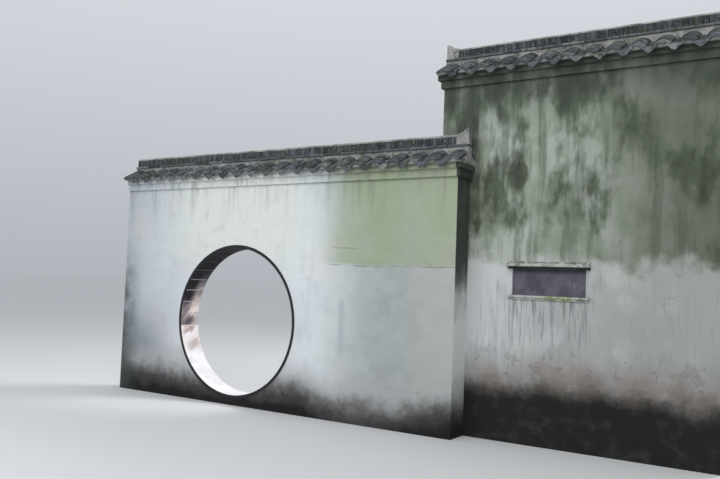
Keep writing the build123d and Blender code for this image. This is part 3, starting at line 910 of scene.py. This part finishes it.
# The lip of the edge tile turns down from its lower end, with a scalloped edge
bpy.ops.object.select_all(action="DESELECT")
bpy.context.view_layer.objects.active = edge_pattern
edge_pattern.select_set(True)
bpy.ops.object.mode_set(mode="EDIT")
pick(edge_pattern, "edges", at_lower_end)
bpy.ops.mesh.extrude_region_move(TRANSFORM_OT_translate={"value": (0, 0, 0)})
shape = bmesh.from_edit_mesh(edge_pattern.data)
for corner in shape.verts:
    if corner.select:
        around = math.atan2(corner.co.x, corner.co.z + cover_centre_drop)
        scallop = 0.25 * abs(math.sin(around / cover_half_angle * math.pi * 2))
        shrink = 1 - lip_drop * (0.75 + scallop) / cover_middle_radius
        corner.co.x *= shrink
        corner.co.z = (corner.co.z + cover_centre_drop) * shrink - cover_centre_drop
bmesh.update_edit_mesh(edge_pattern.data)
bpy.ops.mesh.select_all(action="SELECT")
bpy.ops.mesh.normals_make_consistent(inside=False)
bpy.ops.object.mode_set(mode="OBJECT")
for pattern in (pan_pattern, drip_pattern, cover_pattern, edge_pattern):
    fire_tile(pattern, tile_thickness, grey_tile)

# Mortar that closes the cover tiles' hollow behind each edge tile: a short plug, cut off below
# and at both sides
plug_depth = 0.03
plug_drop = 0.026
plug_setback = 0.012
bpy.ops.object.select_all(action="DESELECT")
bpy.ops.mesh.primitive_cylinder_add(
    vertices=24,
    radius=cover_inner_radius,
    depth=plug_depth,
    rotation=(math.radians(90), 0, 0),
    location=(0, plug_setback + plug_depth / 2, -cover_centre_drop),
)
plug_pattern = bpy.context.object
apply_place(plug_pattern)
bpy.ops.object.mode_set(mode="EDIT")
for direction, reach in (((0, 0, 1), plug_drop), ((1, 0, 0), cover_foot), ((-1, 0, 0), cover_foot)):
    bpy.ops.mesh.select_all(action="SELECT")
    bpy.ops.mesh.bisect(
        plane_co=-reach * Vector(direction),
        plane_no=direction,
        use_fill=True,
        clear_inner=True,
    )
bpy.ops.object.mode_set(mode="OBJECT")
ease_edges(plug_pattern, width=0.003)
plug_pattern.data.materials.append(coping_mortar)


def lay_slope(wall, slope_name, side):
    """Lay the pans, covers and eave pieces of one slope of a wall's coping: side -1 is the front."""
    core_low, core_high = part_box(f"{wall}_coping_core")
    bed_low, bed_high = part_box(f"{wall}_ridge_bed")
    middle = (bed_low.y + bed_high.y) / 2
    half_bed = (bed_high.y - bed_low.y) / 2
    half_core = middle - core_low.y
    half_eave = half_core + eave_overhang
    eave_height = core_high.z - (half_eave - half_bed) * math.tan(roof_pitch)
    slope_length = (half_eave - half_bed) / math.cos(roof_pitch)
    along = slope_length + ridge_tuck - tile_length - eave_setback
    lap_count = round(along / usual_exposure)
    exposure = along / lap_count
    tilt = math.asin(tile_thickness / exposure)
    pan_seat = tile_length * math.sin(tilt) + hair_gap
    first_column = core_low.x + cover_width / 2 + end_inset
    last_column = core_high.x - cover_width / 2 - end_inset
    columns = round((last_column - first_column) / tile_spacing)
    spacing = (last_column - first_column) / columns
    foot_from_pan = spacing / 2 - cover_foot
    pan_inner_radius = pan_radius - tile_thickness
    foot_height = pan_radius - math.sqrt(pan_inner_radius**2 - foot_from_pan**2)
    cover_seat = pan_seat + foot_height + bedding
    slope = Matrix(
        (
            (-side, 0, 0, 0),
            (0, -side * math.cos(roof_pitch), side * math.sin(roof_pitch), middle + side * half_eave),
            (0, math.sin(roof_pitch), math.cos(roof_pitch), eave_height),
            (0, 0, 0, 1),
        )
    )
    # The taller wall stands in the way of the gate wall's back slope
    blocked = wall == "gate_wall" and side > 0
    heaps = {"pan": [], "cover": [], "plug": []}
    for column in range(2 * columns + 1):
        x = first_column + column * spacing / 2
        is_pan = column % 2 == 1
        for row in range(lap_count + 1):
            up_slope = eave_setback + row * exposure
            beside_wall = x > tall_wall_left + wall_clearance
            behind_front = middle + half_eave - up_slope > tall_wall_front + wall_clearance
            if blocked and beside_wall and behind_front:
                continue
            if is_pan:
                pattern = drip_pattern if row == 0 else pan_pattern
            else:
                pattern = edge_pattern if row == 0 else cover_pattern
            place = (
                slope
                @ Matrix.Translation(
                    (
                        -side * x + chance_of.uniform(-side_shift, side_shift),
                        up_slope + chance_of.uniform(0, slope_shift),
                        pan_seat if is_pan else cover_seat,
                    )
                )
                @ Matrix.Rotation(-tilt, 4, "X")
                @ Matrix.Rotation(math.radians(chance_of.uniform(-turn_degrees, turn_degrees)), 4, "Z")
            )
            heaps["pan" if is_pan else "cover"].append(lay(pattern, place, chance_of.random()))
            if row == 0 and not is_pan:
                heaps["plug"].append(lay(plug_pattern, place))
    pan_node = f"{wall}_pan_tiles_{slope_name}"
    cover_node = f"{wall}_cover_tiles_{slope_name}"
    join_as(f"{wall}_pans_{slope_name}", heaps["pan"], [pan_node])
    join_as(f"{wall}_covers_{slope_name}", heaps["cover"], [cover_node])
    join_as(f"{wall}_eave_mortar_{slope_name}", heaps["plug"], [])


for wall in ("gate_wall", "tall_wall"):
    lay_slope(wall, "front", -1)
    lay_slope(wall, "back", 1)
for pattern in (pan_pattern, drip_pattern, cover_pattern, edge_pattern, plug_pattern):
    bpy.data.objects.remove(pattern)

# Ridge slab: one course of flat tiles of grey fired clay, laid end to end on the ridge bed with
# thin open joints. The tiles stick out a little over the bed, and no two lie quite in line.
slab_tile_length = 0.24
slab_joint = 0.003
slab_side_room = 0.004
slab_shift = 0.002
for wall in ("gate_wall", "tall_wall"):
    low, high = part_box(f"{wall}_ridge_slab")
    count = round((high.x - low.x) / slab_tile_length)
    step = (high.x - low.x) / count
    bpy.ops.object.select_all(action="DESELECT")
    bpy.ops.mesh.primitive_cube_add(size=1, location=(0, (low.y + high.y) / 2, (low.z + high.z) / 2))
    slab_pattern = bpy.context.object
    slab_pattern.scale = (step - slab_joint, high.y - low.y - slab_side_room, high.z - low.z)
    apply_place(slab_pattern)
    ease_edges(slab_pattern, width=0.003, segments=2)
    slab_pattern.data.materials.append(grey_tile)
    slabs = [
        lay(
            slab_pattern,
            Matrix.Translation(
                (low.x + (number + 0.5) * step, chance_of.uniform(-slab_shift, slab_shift), 0)
            ),
            chance_of.random(),
        )
        for number in range(count)
    ]
    bpy.data.objects.remove(slab_pattern)
    join_as(f"{wall}_slab_tiles", slabs, [f"{wall}_ridge_slab"])

# Ridge tiles: curved tiles of grey fired clay, stood on end and packed like books along the slab,
# hundreds to a wall. The mortar cap over them and the block at one end hold them upright.
upright_thickness = 0.008
upright_pitch = 0.0165
upright_radius = 0.060
upright_side_room = 0.002
upright_top_room = 0.001
upright_end_room = 0.002
upright_turn_degrees = 1.0
for wall in ("gate_wall", "tall_wall"):
    low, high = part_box(f"{wall}_ridge_tiles")
    width = high.y - low.y - upright_side_room
    height = high.z - low.z - upright_top_room
    half_angle = math.asin(width / 2 / upright_radius)
    upright = spin_tile("upright_tile", upright_radius, half_angle, 0, height, True)
    fire_tile(upright, upright_thickness, grey_tile)
    rise = upright_radius * (1 - math.cos(half_angle)) + upright_thickness
    row_length = high.x - low.x - rise - upright_end_room
    count = int(row_length / upright_pitch)
    step = row_length / count
    first_place = low.x + rise - upright_radius - upright_thickness / 2
    stand = Matrix(((0, 0, 1, 0), (1, 0, 0, (low.y + high.y) / 2), (0, 1, 0, low.z), (0, 0, 0, 1)))
    uprights = [
        lay(
            upright,
            Matrix.Translation((first_place + number * step, 0, 0))
            @ stand
            @ Matrix.Rotation(
                math.radians(chance_of.uniform(-upright_turn_degrees, upright_turn_degrees)), 4, "Z"
            ),
            chance_of.random(),
        )
        for number in range(count + 1)
    ]
    bpy.data.objects.remove(upright)
    join_as(f"{wall}_upright_tiles", uprights, [f"{wall}_ridge_tiles"])
